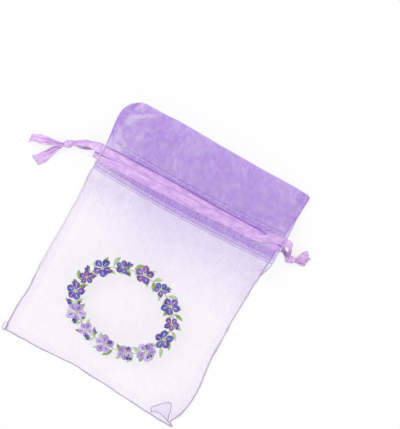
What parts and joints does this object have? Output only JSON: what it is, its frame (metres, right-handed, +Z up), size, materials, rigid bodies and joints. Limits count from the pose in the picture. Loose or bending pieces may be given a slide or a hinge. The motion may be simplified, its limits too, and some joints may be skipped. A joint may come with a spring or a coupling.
{
  "type": "drawstring sachet pouch",
  "caption": "Flat sheer organza sachet pouch with a frilled mouth; knotted ribbon drawstrings slide in a stitched casing to gather it shut, and the inside holds dried lavender.",
  "frame": {"origin": "middle of the back panel's underside, on the surface that the pouch lies on", "axes": "+X across the pouch to the right, +Y from the bottom seam to the mouth, +Z up through the front panel"},
  "size_m": [0.1419, 0.12, 0.0094],
  "materials": {
    "organza": "sheer crisp woven organza with a slight sheen",
    "thread": "fine polyester sewing thread",
    "ribbon": "pink-lilac satin ribbon"
  },
  "bodies": {
    "bag": {"back_panel": "organza", "front_panel": "organza", "back_facing": "organza", "front_facing": "organza", "bottom_seam": "organza", "left_side_seam": "organza", "left_frill_seam": "organza", "right_side_seam": "organza", "right_frill_seam": "organza", "front_upper_stitch": "thread", "front_lower_stitch": "thread", "back_upper_stitch": "thread", "back_lower_stitch": "thread"},
    "left_drawstring": {"left_ribbon": "ribbon", "left_front_strand": "ribbon", "left_back_strand": "ribbon"},
    "left_pull": {"left_knot": "ribbon", "left_upper_tail": "ribbon", "left_lower_tail": "ribbon"},
    "right_drawstring": {"right_ribbon": "ribbon", "right_front_strand": "ribbon", "right_back_strand": "ribbon"},
    "right_pull": {"right_knot": "ribbon", "right_upper_tail": "ribbon", "right_lower_tail": "ribbon"}
  },
  "joints": [
    {"name": "left_draw", "type": "slide", "parent": "bag", "child": "left_drawstring", "axis": [-1, 0, 0], "range_m": [0, 0.024], "deforming": ["front_facing", "back_facing"]},
    {"name": "right_draw", "type": "slide", "parent": "bag", "child": "right_drawstring", "axis": [1, 0, 0], "range_m": [0, 0.024], "deforming": ["front_facing", "back_facing"]},
    {"name": "left_pull_lift", "type": "hinge", "parent": "left_drawstring", "child": "left_pull", "pos_m": [-0.05715, 0.02945, 0.0041], "axis": [-0.6157, 0.788, 0], "range_deg": [0, 90]},
    {"name": "right_pull_lift", "type": "hinge", "parent": "right_drawstring", "child": "right_pull", "pos_m": [0.05079, 0.0306, 0.0041], "axis": [0.342, -0.9397, 0], "range_deg": [0, 90]}
  ],
  "couplings": [
    {"joint": "right_draw", "follows": "left_draw", "ratio": 1}
  ]
}
